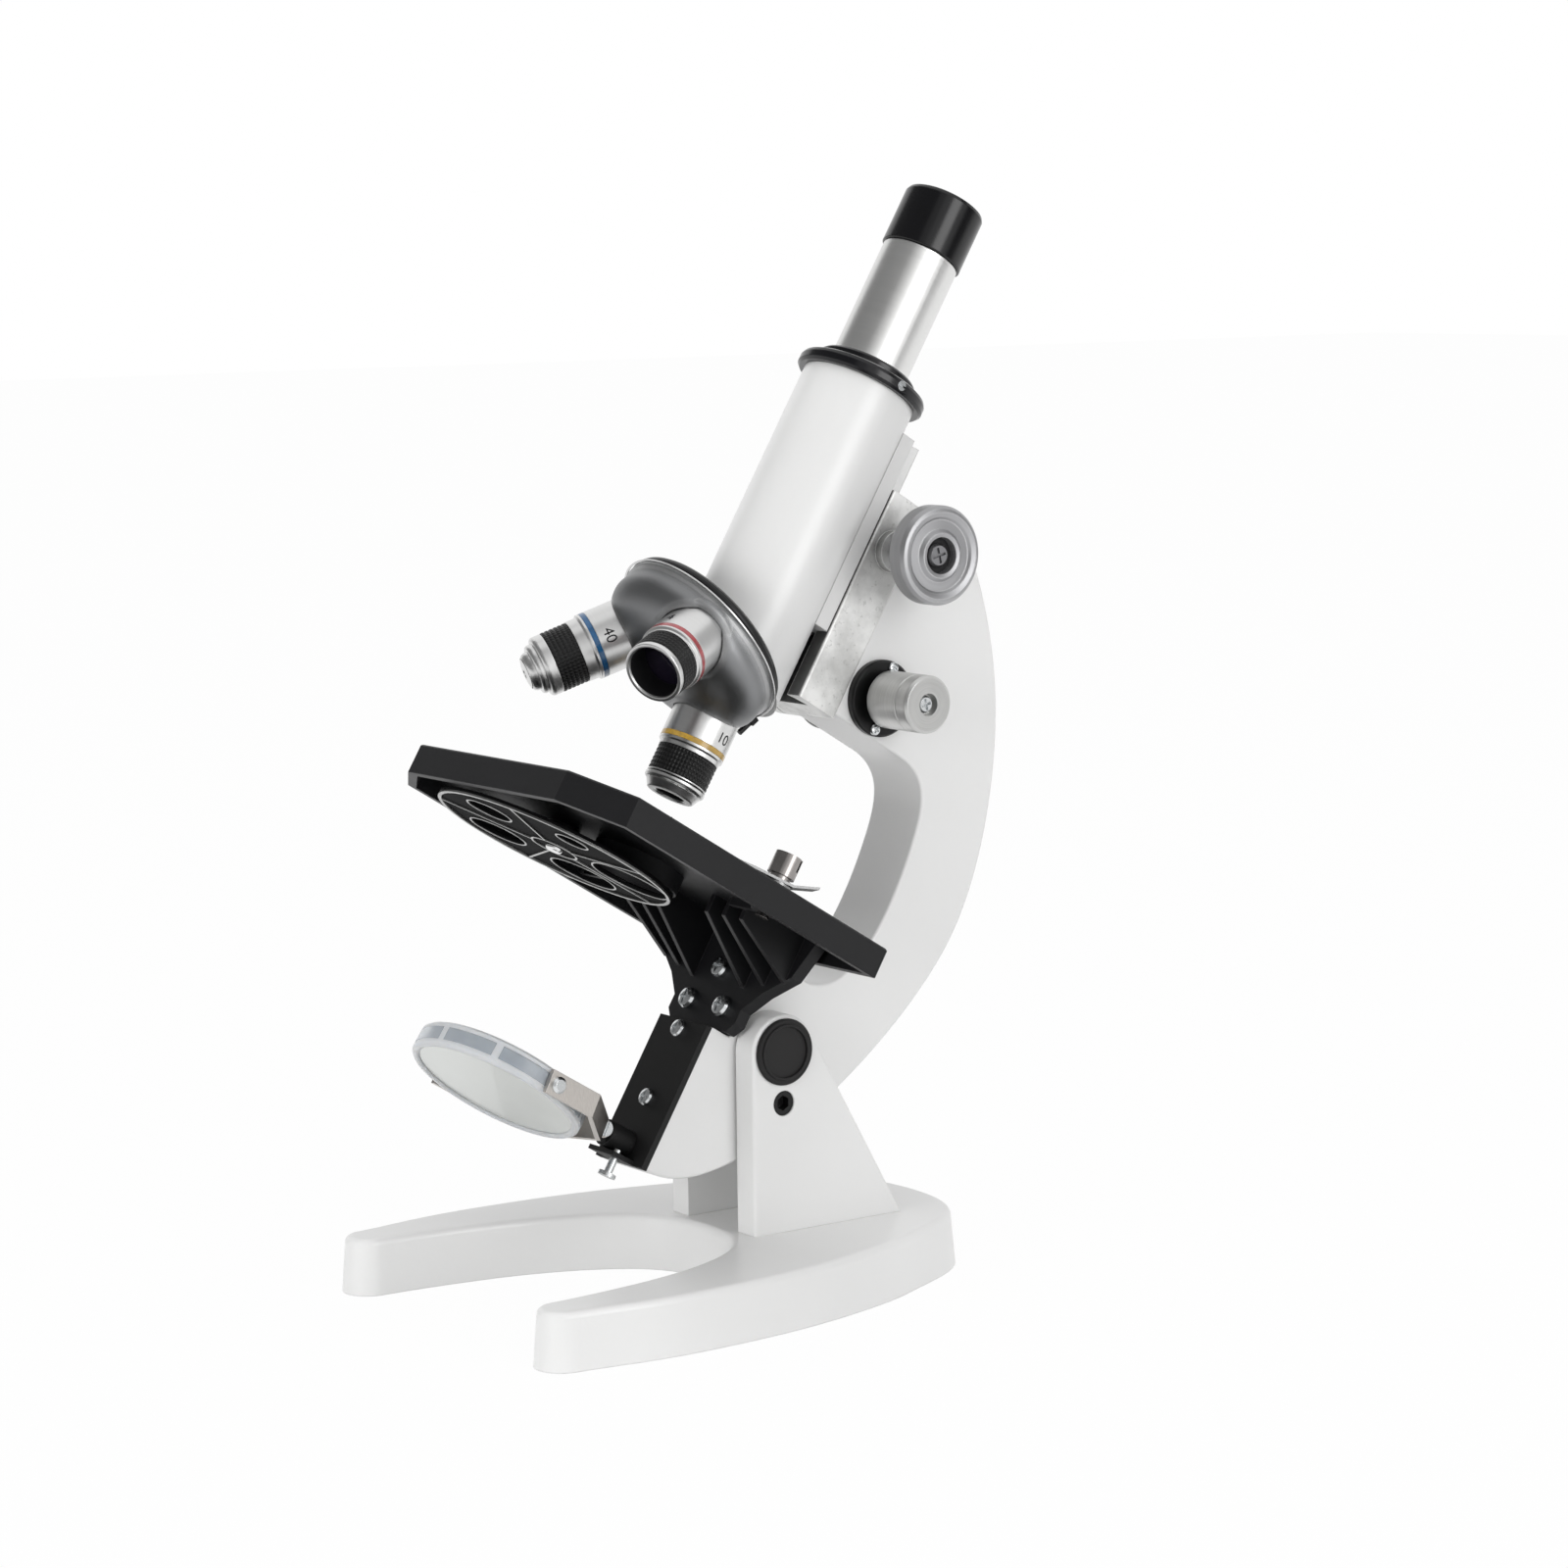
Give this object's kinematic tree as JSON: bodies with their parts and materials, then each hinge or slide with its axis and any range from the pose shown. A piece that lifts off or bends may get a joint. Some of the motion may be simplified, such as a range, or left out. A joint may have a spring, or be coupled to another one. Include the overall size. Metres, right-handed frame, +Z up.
{
  "type": "student microscope",
  "caption": "Student microscope with a horseshoe base, tilting limb, focusing body tube, revolving objectives, clipped stage and a swivelling mirror.",
  "frame": {"origin": "on the table under the hinge of the limb, in the plane of symmetry, on the underside of the base", "axes": "+Z up; -Y to the front, where the toes of the base point and the mirror hangs; +X to the side that faces right when the front points away from the viewer; the plane X = 0 is the plane of symmetry of the base and limb"},
  "size_m": [0.129, 0.1961, 0.3213],
  "materials": {
    "white_castings": "gloss",
    "white_tube": "gloss",
    "hidden_steel": "satin",
    "black_caps": "satin",
    "black_screws": "satin",
    "washer_nylon": "matte",
    "stage_black": "satin",
    "zinc_screws": "satin",
    "disc_grey": "satin",
    "bright_rivet": "polished",
    "clip_steel": "satin",
    "coarse_knob_metal": "satin",
    "fine_knob_metal": "satin",
    "flange_black": "gloss",
    "bar_black": "matte",
    "barrel_black": "satin",
    "fork_nickel": "satin",
    "milky_frame": "satin",
    "mirror_glass": "polished",
    "guide_casting": "satin",
    "shaft_steel": "satin",
    "lever_brass": "satin",
    "collar_black": "gloss",
    "draw_chrome": "polished",
    "eyepiece_chrome": "polished",
    "eyecup_black": "gloss",
    "lens_glass": "polished",
    "nosepiece_black": "satin",
    "turret_metal": "satin",
    "objective_metal_4x": "satin",
    "objective_metal_10x": "satin",
    "objective_metal_40x": "satin",
    "grip_black": "satin"
  },
  "bodies": {
    "base": {"base_casting": "white_castings", "pillar_right": "white_castings", "pillar_left": "white_castings", "pillar_bolts": "hidden_steel", "hinge_shaft": "hidden_steel", "pivot_caps": "black_caps", "tension_screws": "black_screws", "hinge_washers": "washer_nylon"},
    "limb": {"limb_casting": "white_castings", "stage": "stage_black", "stage_screws": "zinc_screws", "stop_disc_rivet": "bright_rivet", "clip_screws": "clip_steel", "mirror_bar": "bar_black", "mirror_bar_screws": "zinc_screws", "fine_flanges": "flange_black", "flange_screws": "zinc_screws", "lever_pin": "hidden_steel", "return_spring": "hidden_steel"},
    "clip_right": {"stage_clip_right": "clip_steel"},
    "clip_left": {"stage_clip_left": "clip_steel"},
    "stop_disc": {"stop_disc": "disc_grey"},
    "mirror_barrel": {"mirror_barrel": "barrel_black"},
    "mirror_fork": {"mirror_fork": "fork_nickel", "fork_screw": "fork_nickel", "mirror_screws": "fork_nickel"},
    "mirror": {"mirror_frame": "milky_frame", "mirror_glasses": "mirror_glass"},
    "thumb_screw": {"thumb_screw": "fork_nickel"},
    "fine_drive": {"fine_shaft": "shaft_steel", "fine_knobs": "fine_knob_metal", "fine_knob_screws": "zinc_screws"},
    "fine_lever": {"fine_lever": "lever_brass"},
    "guide": {"focus_guide": "guide_casting"},
    "coarse_drive": {"coarse_shaft": "shaft_steel", "coarse_knob_right": "coarse_knob_metal", "coarse_knob_left": "coarse_knob_metal", "coarse_knob_screws": "zinc_screws"},
    "carriage": {"body_tube": "white_tube", "tube_carriage": "white_tube", "carriage_screws": "hidden_steel", "focus_rack": "lever_brass", "tube_collar": "collar_black", "collar_screw": "zinc_screws", "draw_tube": "draw_chrome", "nosepiece_plate": "nosepiece_black", "nosepiece_bolt": "turret_metal", "click_stop": "nosepiece_black"},
    "turret": {"turret": "turret_metal", "objective_4x": "objective_metal_4x", "objective_4x_grip": "grip_black", "objective_10x": "objective_metal_10x", "objective_10x_grip": "grip_black", "objective_40x": "objective_metal_40x", "objective_40x_grip": "grip_black", "objective_lenses": "lens_glass"},
    "eyepiece": {"eyepiece_barrel": "eyepiece_chrome", "eyecup": "eyecup_black", "eyepiece_lenses": "lens_glass"}
  },
  "joints": [
    {"name": "limb_tilt", "type": "hinge", "parent": "base", "child": "limb", "pos_m": [0, 0, 0.0707], "axis": [-1, 0, 0], "range_deg": [-31.4, 13.6]},
    {"name": "clip_right_swing", "type": "hinge", "parent": "limb", "child": "clip_right", "pos_m": [0.05, -0.02275, 0.12518], "axis": [0, 0.521, 0.8536], "range_deg": [-50, 75]},
    {"name": "clip_left_swing", "type": "hinge", "parent": "limb", "child": "clip_left", "pos_m": [-0.05, -0.02275, 0.12518], "axis": [0, 0.521, 0.8536], "range_deg": [-75, 50]},
    {"name": "stop_disc_turn", "type": "hinge", "parent": "limb", "child": "stop_disc", "pos_m": [-0.016, -0.05366, 0.13251], "axis": [0, 0.521, 0.8536], "continuous": true},
    {"name": "mirror_roll", "type": "hinge", "parent": "limb", "child": "mirror_barrel", "pos_m": [0, -0.0447, 0.04737], "axis": [0, 0.8536, -0.521], "range_deg": [-70, 70]},
    {"name": "mirror_nod", "type": "hinge", "parent": "mirror_barrel", "child": "mirror_fork", "pos_m": [0, -0.05127, 0.05139], "axis": [0.9923, 0.0644, 0.1055], "range_deg": [-20, 35]},
    {"name": "mirror_tilt", "type": "hinge", "parent": "mirror_fork", "child": "mirror", "pos_m": [0.00021, -0.08442, 0.06964], "axis": [0.9923, 0.0644, 0.1055], "range_deg": [-60, 60]},
    {"name": "thumb_turn", "type": "hinge", "parent": "limb", "child": "thumb_screw", "pos_m": [0.0036, -0.04858, 0.04178], "axis": [0, 0.521, 0.8536], "range_deg": [0, 180]},
    {"name": "fine_slide", "type": "slide", "parent": "limb", "child": "guide", "axis": [0, 0.521, 0.8536], "range_m": [-0.001, 0.001]},
    {"name": "fine_turn", "type": "hinge", "parent": "limb", "child": "fine_drive", "pos_m": [0, 0.04328, 0.17058], "axis": [-1, 0, 0], "range_deg": [-760, 760]},
    {"name": "fine_lever_rock", "type": "hinge", "parent": "limb", "child": "fine_lever", "pos_m": [0, 0.05578, 0.18896], "axis": [-1, 0, 0], "range_deg": [-6.6, 6.6]},
    {"name": "coarse_slide", "type": "slide", "parent": "guide", "child": "carriage", "axis": [0, 0.521, 0.8536], "range_m": [-0.009, 0.028]},
    {"name": "coarse_turn", "type": "hinge", "parent": "guide", "child": "coarse_drive", "pos_m": [0, 0.04868, 0.21379], "axis": [-1, 0, 0], "range_deg": [-137, 420]},
    {"name": "turret_turn", "type": "hinge", "parent": "carriage", "child": "turret", "pos_m": [0, -0.01253, 0.19136], "axis": [0, -0.8211, -0.5707], "continuous": true},
    {"name": "eyepiece_lift", "type": "slide", "parent": "carriage", "child": "eyepiece", "axis": [0, 0.521, 0.8536], "range_m": [0, 0.035]}
  ],
  "couplings": [
    {"joint": "fine_turn", "follows": "fine_slide", "rad_per_m": 12566},
    {"joint": "fine_lever_rock", "follows": "fine_slide", "rad_per_m": 103.7},
    {"joint": "coarse_turn", "follows": "coarse_slide", "rad_per_m": 250}
  ]
}
